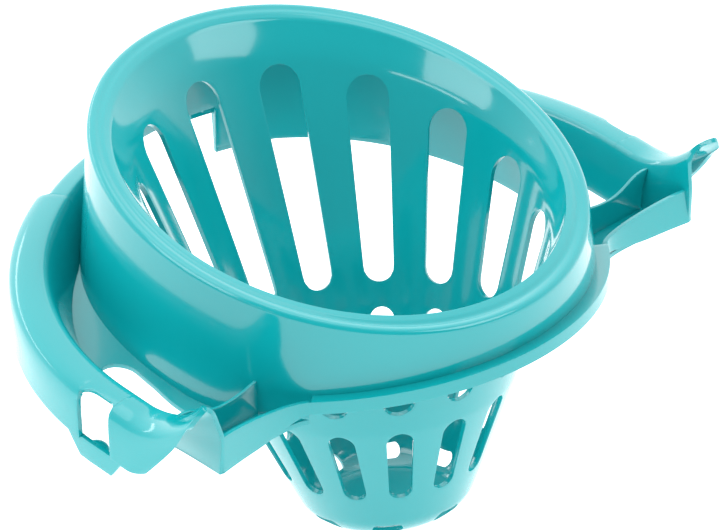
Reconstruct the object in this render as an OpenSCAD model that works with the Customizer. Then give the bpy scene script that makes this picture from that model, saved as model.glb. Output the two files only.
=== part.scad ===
// Press basket of an oval mop bucket: a tilted double-walled funnel with a slotted
// strainer, and two wings whose arched edge clips over the rim of the bucket.
// The axis of the strainer is Z, the origin is on the underside of the basket,
// and +Y points at the end wall of the bucket. All sizes are in millimetres.

/* [Strainer] */
// Inner radius of the strainer at its waist
waist_r = 52.6; // [48:0.2:58]
// Height of the waist above the underside of the basket
waist_z = 57; // [52:0.5:64]
// Flare of the funnel above the waist, degrees from vertical
funnel_flare = 18.3; // [16:0.1:20]
// Taper of the basket below the waist, degrees from vertical
basket_taper = 23; // [20:0.5:25]
// Outer radius of the bend from the basket wall into its floor
floor_bend_r = 16; // [12:0.5:19]
// Wall thickness of the whole moulding
wall = 1.8; // [1.4:0.1:2.4]

/* [Slots] */
// Number of slots in each row
slot_count = 15; // [12:1:16]
// Width of an upper slot at its foot
slot_foot_w = 11.6; // [8:0.2:13]
// Width of an upper slot at its head
slot_head_w = 16.4; // [12:0.2:18]
// Height of the solid band between the two rows of slots
slot_band_h = 9.3; // [7:0.1:14]
// Distance from the rim down to the head of an upper slot
slot_head_gap = 15.6; // [14:0.2:22]
// Width of a basket slot
basket_slot_w = 9.8; // [7:0.2:11]
// Length of a basket slot
basket_slot_h = 34.6; // [26:0.2:38]
// Width of a floor hole
floor_hole_w = 4.4; // [3:0.2:6]
// Length of a floor hole
floor_hole_l = 11; // [8:0.2:13]

/* [Rim and skirt] */
// Height of the rim plane on the strainer axis
rim_z = 137.4; // [130:0.2:146]
// Tilt of the rim plane, rising towards the end wall of the bucket
rim_tilt = 19.6; // [15:0.1:22]
// Outer radius of the rim, seen from above
rim_r = 91.8; // [90:0.2:96]
// Offset of the centre of the rim from the strainer axis
rim_y = 9.6; // [7:0.1:12]
// Depth over which the funnel wall bends out into the rim
rim_flare_h = 10; // [7:0.2:13]
// Radius of the outer edge of the rim
rim_edge_r = 3.6; // [2.4:0.1:4.5]
// Outer radius of the skirt at its foot
skirt_r = 97.6; // [95:0.2:101]
// Offset of the centre of the skirt foot from the strainer axis
skirt_y = 16.8; // [14:0.1:19]
// Height of the skirt foot
skirt_z = 91.3; // [88:0.1:94]
// Half width of the gap in the back of the skirt
back_gap_half = 27; // [20:0.5:32]
// Outward step of the front collar
collar_step = 5.4; // [3.5:0.1:7]
// Depth of the front collar
collar_h = 5; // [3:0.1:7]

/* [Bucket fit] */
// Half width of the bucket rim between the ridges of the two wings
ridge_half_x = 128.5; // [124:0.5:150]
// Distance from the centre of the oval to its end, along Y
ridge_end_y = 111; // [108:0.5:125]
// Offset of the centre of the oval from the strainer axis
oval_y = -3; // [-5:0.5:0]
// Tilt of the bucket rim plane against the strainer
bed_tilt = 13.2; // [10:0.1:15]
// Height of the ridge plane on the strainer axis
ridge_z = 106.2; // [104:0.2:112]
// Width of the crown across the rim of the bucket
crown_w = 14; // [12:0.2:18]
// Depth of the outer wall below the ridge
apron_h = 20; // [17:0.2:24]
// Depth of the trough floor below the ridge
trough_h = 18.9; // [16:0.1:20]
// Inward lean of the inner wall from ridge to floor
wall_lean = 9; // [6:0.2:11]

/* [Wings] */
// Y of the wing tips
tip_y = -49.5; // [-54:0.5:-46]
// Y of the rib across each wing
rib_y = -28; // [-31:0.5:-26]
// Y of the middle of each clip window
window_y = -2.5; // [-4:0.5:2]
// Half width of each clip window
window_half = 7.5; // [5:0.5:9]
// Depth of the snap tab below the outer wall
tab_h = 8; // [5:0.2:10]
// Height of the horn above the ridge plane
horn_rise = 21; // [14:0.5:24]
// Radius of the snap nub
nub_r = 5; // [3:0.2:6]
// Distance from the symmetry plane to the inner edge of the drain
drain_x = 103; // [102:0.2:108]
// Y of the rear end of the drain
drain_back_y = 35; // [20:1:45]
// Half width of the rear bridge between the two rear clips
bridge_half = 25; // [18:1:30]
// Distance from the symmetry plane to the outer edge of a rear clip
clip_x = 62; // [56:1:68]
// Inward set of the outer wall between the rear clips
rear_inset = 3.5; // [2:0.1:5]

/* [Hidden] */
$fn = 96;
eps = 0.01;
plastic = "#35b9bc";

// ---- The strainer: a double cone about Z ----
flare = tan(funnel_flare);
taper = tan(basket_taper);
waist_wall = wall / cos(funnel_flare);
basket_wall = wall / cos(basket_taper);
slot_pitch = 360 / slot_count;
band_top_z = waist_z + slot_band_h;
split_z = waist_z + slot_band_h / 2;
// Radius of the funnel's inner face at height z
function funnel_r(z) = waist_r + flare * (z - waist_z);
// Outer radius of the basket at height z, below the waist
function basket_r(z) = waist_r + basket_wall - taper * (waist_z - z);
// The bend of the basket floor touches the wall and the plane z = 0
bend_x = basket_r(floor_bend_r) - floor_bend_r / cos(basket_taper);
bend_top_z = floor_bend_r * (1 - sin(basket_taper));

// ---- The tilted rim ----
rim_slope = tan(rim_tilt);
// Height of the rim plane at y
function rim_plane(y) = rim_z + rim_slope * y;
// Radius from the axis, in direction a, of a circle of radius r centred at y = c
function offset_circle(a, r, c) = c * sin(a) + sqrt(r * r - c * c * cos(a) * cos(a));
// Radius of the funnel's inner face where it passes a depth d below the rim plane
function funnel_at_rim(a, d) = funnel_r(rim_z - d) / (1 - flare * rim_slope * sin(a));
function rim_out(a) = offset_circle(a, rim_r, rim_y);
function rim_top(a) = rim_plane(rim_out(a) * sin(a));
function skirt_foot(a) = offset_circle(a, skirt_r, skirt_y);
// Outer radius of the skirt in direction a at height z: a straight line from foot to rim
function skirt_out(a, z) = skirt_foot(a)
    + (rim_out(a) - skirt_foot(a)) * (z - skirt_z) / (rim_top(a) - skirt_z);
function polar(a, r, z) = [r * cos(a), r * sin(a), z];

// ---- The bed: the plane of the bucket's rim, and the oval of its edge ----
bed_slope = tan(bed_tilt);
function ridge_plane(y) = ridge_z + bed_slope * y;
floor_low_z = ridge_z - trough_h - 3.2;
floor_kink_y = (floor_low_z - ridge_z + trough_h) / bed_slope;
// Top face of the trough floor: it falls with the bed, then lies level under the wings
function floor_top(y) = max(floor_low_z, ridge_plane(y) - trough_h);
// A point of the ridge line on the left, at parameter t from 0 at the side to 90 at the back
function oval(t) = [-ridge_half_x * cos(t), oval_y + ridge_end_y * sin(t)];
function oval_normal(t) = let (v = [-cos(t) / ridge_half_x, sin(t) / ridge_end_y]) v / norm(v);
// Parameter at which the ridge line has a given x or y
function oval_at_x(x) = acos(x / ridge_half_x);
function oval_at_y(y) = asin((y - oval_y) / ridge_end_y);

// Stations of a wing: [ridge point, outward normal]; straight in front of the oval's centre
function side_station(y) = y < oval_y
    ? [[-ridge_half_x, y], [-1, 0]]
    : let (t = oval_at_y(y)) [oval(t), oval_normal(t)];
function back_station(t) = [oval(t), oval_normal(t)];

function direction(p) = atan2(p[1], p[0]);
// Depth of the toe of an inner wall that leans in by r: a shorter wall keeps its slope
function toe_depth(s, r) = (ridge_plane(s[0][1]) - floor_top(s[0][1])) * r / wall_lean;
// Distance that is left between the toe and the skirt when the wall leans in by r
function toe_gap(s, r) = let (p = s[0] - r * s[1])
    norm(p) - skirt_out(direction(p), ridge_plane(s[0][1]) - toe_depth(s, r));
// Inward lean of the inner wall: its full value, or less where the skirt is nearer
least_lean = 0.6;
function settle(s, r, tries) = tries == 0 ? r
    : settle(s, min(wall_lean, max(least_lean, r + toe_gap(s, r))), tries - 1);
function reach(s) = settle(s, wall_lean, 6);

// ---- Cross-section of the arched edge ----
// Each row: distance outwards from the ridge, drop below it, and the inward normal
// along which the wall is thickened. The first rows climb the inner wall.
crown_slack = crown_w - 14;
function section_rows(lean, drop, inset) = [
    [-lean, -drop - wall, [1, 0]],
    [-lean, -drop, [1, -0.1]],
    [-lean * 0.73, -drop * 0.62, [0.93, -0.36]],
    [-lean * 0.5, -drop * 0.34, [0.9, -0.43]],
    [-lean * 0.28, -drop * 0.13, [0.75, -0.66]],
    [-lean * 0.1, -drop * 0.03, [0.45, -0.9]],
    [1, 0, [0.1, -1]],
    [5, 0, [0, -1]],
    [9 + crown_slack - inset * 0.6, -0.5, [-0.15, -1]],
    [12 + crown_slack - inset, -2, [-0.6, -0.8]],
    [13.2 + crown_slack - inset, -4.6, [-0.95, -0.3]],
    [13.8 + crown_slack - inset, -apron_h * 0.45, [-1, 0]],
    [14.1 + crown_slack - inset, -apron_h * 0.72, [-1, 0]],
    [14.4 + crown_slack - inset, -apron_h, [-1, 0]]];
rows_all = 14;
// The first rows only: inner wall and crown, as at a window
rows_crown = 9;

// A section point in space: n outwards from the ridge point of station s, h above its plane
function place(s, n, h) = [s[0][0] + n * s[1][0], s[0][1] + n * s[1][1], ridge_plane(s[0][1]) + h];

function edge_drop(s) = toe_depth(s, reach(s));
function edge_outer(s, first, count, inset) = let (rows = section_rows(reach(s), edge_drop(s), inset))
    [for (j = [first : first + count - 1]) place(s, rows[j][0], rows[j][1])];
function edge_inner(s, first, count, inset) = let (rows = section_rows(reach(s), edge_drop(s), inset))
    [for (j = [first : first + count - 1])
        place(s, rows[j][0] + wall * rows[j][2][0], rows[j][1] + (j == 0 ? 0 : wall * rows[j][2][1]))];

// ---- A thin shell swept through matching rows of outer and inner points ----
function strip_ring(o, i) = concat(o, [for (j = [len(i) - 1 : -1 : 0]) i[j]]);
function ring_faces(m, n, closed) = [
    for (i = [0 : (closed ? m : m - 1) - 1], j = [0 : n - 1])
        let (k = (i + 1) % m, l = (j + 1) % n)
            each [[i * n + j, k * n + l, i * n + l], [i * n + j, k * n + j, k * n + l]]];
function cap_faces(base, n, flip) = [
    for (j = [0 : n / 2 - 2])
        let (a = base + j, b = base + j + 1, c = base + n - 2 - j, d = base + n - 1 - j)
            each flip ? [[a, c, b], [a, d, c]] : [[a, b, c], [a, c, d]]];
module shell_sweep(outer, inner, closed = false) {
    m = len(outer);
    n = 2 * len(outer[0]);
    points = [for (i = [0 : m - 1]) each strip_ring(outer[i], inner[i])];
    caps = closed ? [] : concat(cap_faces(0, n, false), cap_faces((m - 1) * n, n, true));
    polyhedron(points, concat(ring_faces(m, n, closed), caps), convexity = 6);
}

module both_sides(side) {
    if (side == "left") children();
    else mirror([1, 0, 0]) children();
}

// ================= Strainer =================
module funnel_wall() {
    top_z = rim_plane(rim_r + rim_y);
    color(plastic)
    difference() {
        rotate_extrude() polygon([
            [funnel_r(split_z), split_z], [funnel_r(top_z), top_z],
            [funnel_r(top_z) + waist_wall, top_z], [funnel_r(split_z) + waist_wall, split_z]]);
        above_rim(rim_flare_h);
        for (i = [0 : slot_count - 1]) upper_slot(90 + i * slot_pitch);
    }
}

// Everything higher than a depth d below the rim plane
module above_rim(d) {
    translate([0, 0, rim_z - d]) rotate([rim_tilt, 0, 0])
        translate([-2 * rim_r, -2 * rim_r, 0]) cube([4 * rim_r, 4 * rim_r, 2 * rim_r]);
}

// A slot with round ends that widens upwards; its head keeps its distance from the rim
module upper_slot(a) {
    head_z = rim_plane(funnel_at_rim(a, 0) * sin(a)) - slot_head_gap;
    foot_r = slot_foot_w / 2;
    head_r = slot_head_w / 2;
    slot_cutter(a, band_top_z + foot_r, head_z - head_r, foot_r, head_r);
}

// A radial cutter in direction a: two circles and the web between them
module slot_cutter(a, low_z, high_z, low_r, high_r) {
    rotate([0, 0, a - 90]) rotate([90, 0, 0]) mirror([0, 0, 1])
        translate([0, 0, slot_start]) linear_extrude(slot_reach) {
            translate([0, low_z]) circle(low_r);
            translate([0, high_z]) circle(high_r);
            polygon([[-low_r, low_z], [low_r, low_z], [high_r, high_z], [-high_r, high_z]]);
        }
}
slot_start = 12;
slot_reach = 110;

module drain_basket() {
    low_z = bend_top_z;
    slot_r = basket_slot_w / 2;
    color(plastic)
    difference() {
        rotate_extrude() polygon([
            [basket_r(low_z), low_z], [basket_r(waist_z), waist_z],
            [funnel_r(split_z) + waist_wall, split_z], [funnel_r(split_z), split_z],
            [waist_r, waist_z], [basket_r(low_z) - basket_wall, low_z]]);
        for (i = [0 : slot_count - 1])
            slot_cutter(90 + i * slot_pitch, waist_z - basket_slot_h + slot_r, waist_z - slot_r,
                slot_r * 0.86, slot_r);
    }
}

// The bowl under the basket: a flat disc and a bend up to the wall, with a ring of holes
module basket_floor() {
    color(plastic)
    difference() {
        rotate_extrude() bowl_profile();
        for (i = [0 : floor_holes - 1]) floor_hole(90 + i * 360 / floor_holes);
    }
}
floor_holes = 8;
floor_hole_share = 0.66;

module bowl_profile() {
    intersection() {
        difference() {
            union() {
                translate([bend_x, floor_bend_r]) circle(floor_bend_r);
                square([bend_x, 2 * floor_bend_r]);
            }
            translate([bend_x, floor_bend_r]) circle(floor_bend_r - wall);
            translate([-eps, wall]) square([bend_x + eps, 2 * floor_bend_r]);
            polygon([[0, wall], [basket_r(bend_top_z) - basket_wall, bend_top_z],
                [basket_r(bend_top_z) - basket_wall, 2 * floor_bend_r], [0, 2 * floor_bend_r]]);
        }
        square([basket_r(bend_top_z) + eps, bend_top_z]);
    }
}

// An oblong hole, drilled straight up through the bend
module floor_hole(a) {
    half = (floor_hole_l - floor_hole_w) / 2;
    rotate([0, 0, a]) translate([bend_x + floor_bend_r * floor_hole_share, 0, -eps]) linear_extrude(floor_bend_r) {
        translate([0, -half]) circle(floor_hole_w / 2);
        translate([0, half]) circle(floor_hole_w / 2);
        square([floor_hole_w, 2 * half], center = true);
    }
}

// ================= Rim and skirt =================
ring_step = 4;
ring_angles = [for (a = [0 : ring_step : 360 - ring_step]) a];
flare_steps = 4;
edge_steps = 3;

// Section of the rim in direction a: out from the funnel wall on a quarter of an ellipse,
// then over the outer edge on a quarter of a circle. The wall is thickened by w.
function rim_section(a, w) =
    let (foot_r = funnel_at_rim(a, rim_flare_h), foot_z = rim_plane(foot_r * sin(a)) - rim_flare_h,
        crest_r = rim_out(a) - rim_edge_r, crest_z = rim_top(a),
        run = crest_r - foot_r, rise = crest_z - foot_z)
    concat(
        [for (i = [0 : flare_steps]) let (q = 90 * i / flare_steps)
            polar(a, foot_r + run * (1 - cos(q)) + w * cos(q),
                foot_z + rise * sin(q) - w * sin(q) + w * cos(q) * rim_slope * sin(a))],
        [for (i = [1 : edge_steps]) let (q = 90 * i / edge_steps)
            polar(a, crest_r + (rim_edge_r - w) * sin(q), crest_z - rim_edge_r + (rim_edge_r - w) * cos(q))]);

module rim_bead() {
    color(plastic)
    shell_sweep([for (a = ring_angles) rim_section(a, 0)], [for (a = ring_angles) rim_section(a, wall)], true);
}

// Lower edge of the skirt: the collar in front, the trough floor at the sides and
// the underside of the rear bridge across the gap at the back
function skirt_low(a) =
    let (y = skirt_foot(a) * sin(a), x = skirt_foot(a) * cos(a))
    y < collar_end_y ? skirt_z
    : y > 0 && abs(x) < back_gap_half ? ridge_plane(ridge_end_y + oval_y) - wall
    : floor_top(y) - wall;
collar_end_y = tip_y + 0.5;
// Direction, from the strainer axis, of the right end of the collar
collar_dir = atan2(collar_end_y, sqrt(skirt_r * skirt_r - pow(collar_end_y - skirt_y, 2)));
gap_angle = acos(back_gap_half / skirt_foot(90));
step_angle = 0.3;
// The regular stations, with a close pair at each place where the lower edge steps
skirt_angles = sorted(concat(ring_angles,
    [gap_angle - step_angle, gap_angle + step_angle, 180 - gap_angle - step_angle, 180 - gap_angle + step_angle,
     360 + collar_dir - step_angle, 360 + collar_dir + step_angle,
     180 - collar_dir - step_angle, 180 - collar_dir + step_angle]));
function sorted(v) = len(v) <= 1 ? v
    : let (p = v[floor(len(v) / 2)])
        concat(sorted([for (x = v) if (x < p) x]), [p], sorted([for (x = v) if (x > p) x]));

function skirt_side(a, w) = let (low = skirt_low(a), high = rim_top(a) - rim_edge_r)
    [polar(a, rim_out(a) - w, high), polar(a, skirt_out(a, low) - w, low)];
module outer_skirt() {
    color(plastic)
    shell_sweep([for (a = skirt_angles) skirt_side(a, 0)], [for (a = skirt_angles) skirt_side(a, wall)], true);
}

// The collar under the front of the skirt: a ledge and a short outer band
module front_collar() {
    band_r = skirt_r + collar_step;
    color(plastic)
    intersection() {
        translate([0, skirt_y, 0]) rotate_extrude() polygon([
            [skirt_r - wall, skirt_z], [band_r, skirt_z], [band_r, skirt_z - collar_h],
            [band_r - wall, skirt_z - collar_h], [band_r - wall, skirt_z - wall], [skirt_r - wall, skirt_z - wall]]);
        translate([-2 * skirt_r, collar_end_y - 2 * skirt_r, 0]) cube([4 * skirt_r, 2 * skirt_r, 2 * skirt_z]);
    }
}

// ================= Troughs and wings =================
// Stations from the rear clip forwards to the rib
trough_back_t = oval_at_x(clip_x);
// The drain is a gap between the floor and the inner wall; its ends are steps in the floor
drain_front_y = rib_y + 4;
drain_step = 0.6;
// Width left for the floor at a station: behind the place where it ends, the wall meets the skirt
least_floor = 1;
function floor_width(s) = norm(toe(s)) - norm(skirt_beside(toe(s), floor_top(toe(s)[1])));
rear_floor_stations = [for (i = [0 : 12])
    back_station(trough_back_t + (oval_at_y(drain_back_y) - trough_back_t) * i / 12)];
trough_stations = concat(
    [for (s = rear_floor_stations) if (floor_width(s) > least_floor) s],
    [for (i = [0 : 4]) side_station(drain_back_y - drain_step + (oval_y - drain_back_y) * i / 5)],
    [side_station(oval_y), side_station(floor_kink_y), side_station(drain_front_y),
     side_station(drain_front_y - drain_step), side_station(rib_y)]);

// Toe of the inner wall at a station, and the skirt point on the same line to the axis
function toe(s) = s[0] - reach(s) * s[1];
function skirt_beside(p, z) = let (a = direction(p)) [cos(a), sin(a)] * (skirt_out(a, z));
function trough_edge(s) = let (t = toe(s))
    s[0][1] < drain_back_y - drain_step / 2 && s[0][1] > drain_front_y - drain_step / 2
        ? [max(t[0], -drain_x), t[1]] : t;
function trough_row(s, drop) =
    let (p = trough_edge(s), q = skirt_beside(p, floor_top(p[1])))
    [[q[0], q[1], floor_top(q[1]) - drop], [p[0], p[1], floor_top(p[1]) - drop]];
module trough_floor(side) {
    color(plastic) both_sides(side)
    shell_sweep([for (s = trough_stations) trough_row(s, 0)], [for (s = trough_stations) trough_row(s, wall)]);
}
module left_trough_floor() { trough_floor("left"); }
module right_trough_floor() { trough_floor("right"); }

// Plan outline of the front of a wing, from the collar to the tip: the share of the way,
// and how far the wall bows back from the tip line
apron_bow = [[0.18, 4.4], [0.42, 4.6], [0.68, 2.4], [0.86, 0.2], [1, 0]];
apron_tip_x = ridge_half_x - 4;
band_r = skirt_r + collar_step;
function band_x(r) = sqrt(r * r - pow(collar_end_y - skirt_y, 2));
apron_tip_h = 13.6;
apron_tip_z = floor_low_z - wall;
function apron_x(f) = -band_x(band_r) + f * (band_x(band_r) - apron_tip_x);
function blend(a, b, f) = a + (b - a) * f * f * (3 - 2 * f);
function apron_low(f) = blend(skirt_z - collar_h, apron_tip_z, min(1, f * 1.8));
function apron_high(f) = blend(skirt_z, apron_tip_z + apron_tip_h, f);

module front_floor(side) {
    s = side_station(rib_y);
    from_a = direction(toe(s)) + 360;
    to_a = 180 - collar_dir;
    color(plastic) both_sides(side)
    translate([0, 0, floor_low_z - wall]) linear_extrude(wall) intersection() {
        translate([toe(s)[0], -2 * ridge_half_x]) square(2 * ridge_half_x);
        polygon(concat(
            [[-apron_tip_x, rib_y], toe(s)],
            [for (i = [0 : 5]) let (a = from_a + (to_a - from_a) * i / 5)
                [cos(a), sin(a)] * skirt_out(a, floor_low_z)],
            [[-band_x(band_r - wall), collar_end_y]],
            [for (b = apron_bow) [apron_x(b[0]), tip_y + b[1]]]));
    }
}
module left_front_floor() { front_floor("left"); }
module right_front_floor() { front_floor("right"); }

function apron_row(b, w) = let (x = apron_x(b[0]), y = tip_y + b[1] - w)
    [[x, y, apron_high(b[0])], [x, y, apron_low(b[0])]];
module front_apron(side) {
    outer_x = -band_x(band_r);
    inner_x = -band_x(band_r - wall);
    collar_out = [[outer_x, collar_end_y, skirt_z], [outer_x, collar_end_y, skirt_z - collar_h]];
    collar_in = [[inner_x, collar_end_y, skirt_z], [inner_x, collar_end_y, skirt_z - collar_h]];
    tip_first = [for (i = [len(apron_bow) - 1 : -1 : 0]) apron_bow[i]];
    color(plastic) both_sides(side)
    shell_sweep(concat([for (b = tip_first) apron_row(b, wall)], [collar_out]),
        concat([for (b = tip_first) apron_row(b, 0)], [collar_in]));
}
module left_front_apron() { front_apron("left"); }
module right_front_apron() { front_apron("right"); }

// A plate of thickness t standing in the YZ plane at x, from an outline in y and z
module plate_yz(outline, x, t) {
    translate([x, 0, 0]) rotate([90, 0, 90]) linear_extrude(t) polygon(outline);
}

// The rib across a wing: its top dips between the skirt and the inner wall
rib_t = 1.5;
rib_skirt_h = 11.4;
rib_dip = 1.6;
module rib(side) {
    s = side_station(rib_y);
    rows = section_rows(wall_lean, edge_drop(s), 0);
    skirt_x = -sqrt(pow(skirt_r, 2) - pow(rib_y - skirt_y, 2));
    wall_edge = [for (j = [1 : 4]) [-ridge_half_x - rows[j][0], ridge_plane(rib_y) + rows[j][1]]];
    end = wall_edge[3];
    span = skirt_x - end[0];
    start_z = floor_low_z + rib_skirt_h;
    color(plastic) both_sides(side)
    translate([0, rib_y + rib_t / 2, 0]) rotate([90, 0, 0]) linear_extrude(rib_t) polygon(concat(
        wall_edge,
        [for (i = [5 : -1 : 0]) let (f = i / 6)
            [skirt_x - span * f, start_z + (end[1] - start_z) * f * f - rib_dip * sin(180 * f)]],
        [[skirt_x, floor_low_z]]));
}
module left_rib() { rib("left"); }
module right_rib() { rib("right"); }

// ================= Arched edge over the bucket rim =================
module edge_piece(side, stations, first, count, inset) {
    color(plastic) both_sides(side)
    shell_sweep([for (s = stations) edge_outer(s, first, count, inset)],
        [for (s = stations) edge_inner(s, first, count, inset)]);
}
horn_start_y = rib_y - rib_t / 2;
window_back_y = window_y + window_half;
window_front_y = window_y - window_half;
rear_channel_stations = [for (i = [0 : 12])
    back_station(trough_back_t + (oval_at_y(window_back_y) - trough_back_t) * i / 12)];
window_stations = [side_station(window_back_y), side_station(oval_y), side_station(window_front_y)];
front_channel_stations = [side_station(window_front_y), side_station(floor_kink_y), side_station(horn_start_y)];
module left_rear_channel() { edge_piece("left", rear_channel_stations, 0, rows_all, 0); }
module right_rear_channel() { edge_piece("right", rear_channel_stations, 0, rows_all, 0); }
module left_window_bridge() { edge_piece("left", window_stations, 0, rows_crown, 0); }
module right_window_bridge() { edge_piece("right", window_stations, 0, rows_crown, 0); }
module left_front_channel() { edge_piece("left", front_channel_stations, 0, rows_all, 0); }
module right_front_channel() { edge_piece("right", front_channel_stations, 0, rows_all, 0); }

// The horn: every row of the section runs straight from its start to a point of the end
// outline. Each row gives the distance outwards, the distance in front of the tip line and
// the share of the height from the floor to the top of the horn.
horn_top_z = ridge_plane(tip_y) + horn_rise;
horn_end = [[0, 0, 0], [0, 0, 0], [0.27, 0, 0.26], [0.5, 0, 0.45], [0.72, 0, 0.64], [0.9, 0.8, 0.8],
    [1.1, 1.2, 0.87], [1.55, -3.5, 0.96], [1.95, -5.6, 1], [2.3, -2.8, 0.85], [2.41, -1.4, 0.76],
    [2.44, 3, 0.56], [2.46, 10.5, 0.29], [2.5, 18, 0.03]];
function horn_point(j, w) = let (r = horn_end[j], rows = section_rows(wall_lean, 1, 0))
    [-ridge_half_x + wall_lean - wall_lean * r[0] * (r[0] > 1 ? crown_w / 14 : 1) - w * rows[j][2][0],
     tip_y + r[1],
     j == 0 ? floor_low_z - wall
        : floor_low_z + (horn_top_z - floor_low_z) * r[2] + w * rows[j][2][1]];
module horn(side) {
    s = side_station(horn_start_y);
    color(plastic) both_sides(side)
    shell_sweep([edge_outer(s, 0, rows_all, 0), [for (j = [0 : rows_all - 1]) horn_point(j, 0)]],
        [edge_inner(s, 0, rows_all, 0), [for (j = [0 : rows_all - 1]) horn_point(j, wall)]]);
}
module left_horn() { horn("left"); }
module right_horn() { horn("right"); }

// Lower edge of the outer wall at y
function foot_z(y) = ridge_plane(y) - apron_h;
tab_back = 13;
tab_front = -15;
tab_side = 6.5;
nub_reach = 6;
nub_drop = 3.5;
outer_n = 14.4 + crown_slack;
module snap_tab(side) {
    x = -ridge_half_x - outer_n;
    color(plastic) both_sides(side) {
        plate_yz([[tab_back, foot_z(tab_back)], [tab_back - tab_side, foot_z(tab_back - tab_side) - tab_h],
            [tab_front + tab_side, foot_z(tab_front + tab_side) - tab_h], [tab_front, foot_z(tab_front)]], x, wall);
        translate([x + wall, window_y, foot_z(window_y) - nub_drop]) rotate([0, 90, 0])
            cylinder(h = nub_reach, r1 = nub_r, r2 = nub_r * 0.6);
    }
}
module left_snap_tab() { snap_tab("left"); }
module right_snap_tab() { snap_tab("right"); }

// ================= Rear of the arched edge =================
rear_steps = 6;
bridge_t = oval_at_x(bridge_half);
rear_stations = [for (i = [0 : rear_steps]) back_station(bridge_t + (trough_back_t - bridge_t) * i / rear_steps)];
bridge_stations = [for (i = [0 : rear_steps]) back_station(180 - bridge_t + (2 * bridge_t - 180) * i / rear_steps)];
module rear_left_channel() { edge_piece("left", rear_stations, 0, rows_all, rear_inset); }
module rear_right_channel() { edge_piece("right", rear_stations, 0, rows_all, rear_inset); }
module rear_bridge() { edge_piece("left", bridge_stations, 5, 5, rear_inset); }

clip_start_x = 34;
clip_drop = 11;
clip_t = oval_at_x(clip_start_x);
clip_stations = [for (i = [0 : 4]) back_station(clip_t + (trough_back_t - clip_t) * i / 4)];
module rear_clip(side) {
    n = outer_n - rear_inset;
    color(plastic) both_sides(side)
    shell_sweep([for (s = clip_stations) [place(s, n, -apron_h), place(s, n, -apron_h - clip_drop)]],
        [for (s = clip_stations) [place(s, n - wall, -apron_h), place(s, n - wall, -apron_h - clip_drop)]]);
}
module rear_left_clip() { rear_clip("left"); }
module rear_right_clip() { rear_clip("right"); }

funnel_wall();
drain_basket();
basket_floor();
rim_bead();
outer_skirt();
front_collar();
left_trough_floor();
right_trough_floor();
left_front_floor();
right_front_floor();
left_rib();
right_rib();
left_front_apron();
right_front_apron();
left_rear_channel();
right_rear_channel();
left_window_bridge();
right_window_bridge();
left_front_channel();
right_front_channel();
left_horn();
right_horn();
left_snap_tab();
right_snap_tab();
rear_bridge();
rear_left_channel();
rear_right_channel();
rear_left_clip();
rear_right_clip();
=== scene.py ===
"""Mop wringer basket: one glossy turquoise moulding, seen in a soft light tent.

Sizes are in millimetres and degrees until a mesh is made, and the frame is the CAD frame: Z is the axis
of the strainer, the origin lies under its floor, +Y points at the end wall of the bucket and X is the
direction across the two wings. The left wing is built first and the right one is its mirror image.
"""

import logging
from dataclasses import dataclass, field
from enum import Enum

import bmesh
import bpy
import numpy as np
from mathutils import Matrix, Vector


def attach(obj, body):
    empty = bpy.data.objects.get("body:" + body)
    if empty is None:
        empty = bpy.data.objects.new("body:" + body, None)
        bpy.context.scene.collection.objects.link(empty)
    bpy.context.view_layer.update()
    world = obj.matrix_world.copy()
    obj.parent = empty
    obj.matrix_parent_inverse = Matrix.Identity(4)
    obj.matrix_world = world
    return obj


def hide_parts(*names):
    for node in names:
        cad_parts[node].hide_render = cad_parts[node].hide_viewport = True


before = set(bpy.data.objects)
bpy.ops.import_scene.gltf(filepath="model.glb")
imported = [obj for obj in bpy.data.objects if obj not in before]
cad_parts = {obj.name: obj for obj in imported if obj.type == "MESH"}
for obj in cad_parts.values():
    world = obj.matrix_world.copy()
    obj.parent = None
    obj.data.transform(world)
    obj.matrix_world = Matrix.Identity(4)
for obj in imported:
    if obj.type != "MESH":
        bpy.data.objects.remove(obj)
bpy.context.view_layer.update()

LOG = logging.getLogger("wringer")
METRES_PER_MM = 0.001
ROUNDS = 12
BODY = "root"
Array = np.ndarray


class Side(Enum):
    """The two mirror-image halves of the wringer, with the sign of X on each."""

    LEFT = -1
    RIGHT = 1

    @property
    def word(self) -> str:
        """The side as it is spelled in the names of the CAD nodes."""
        return self.name.lower()


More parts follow.
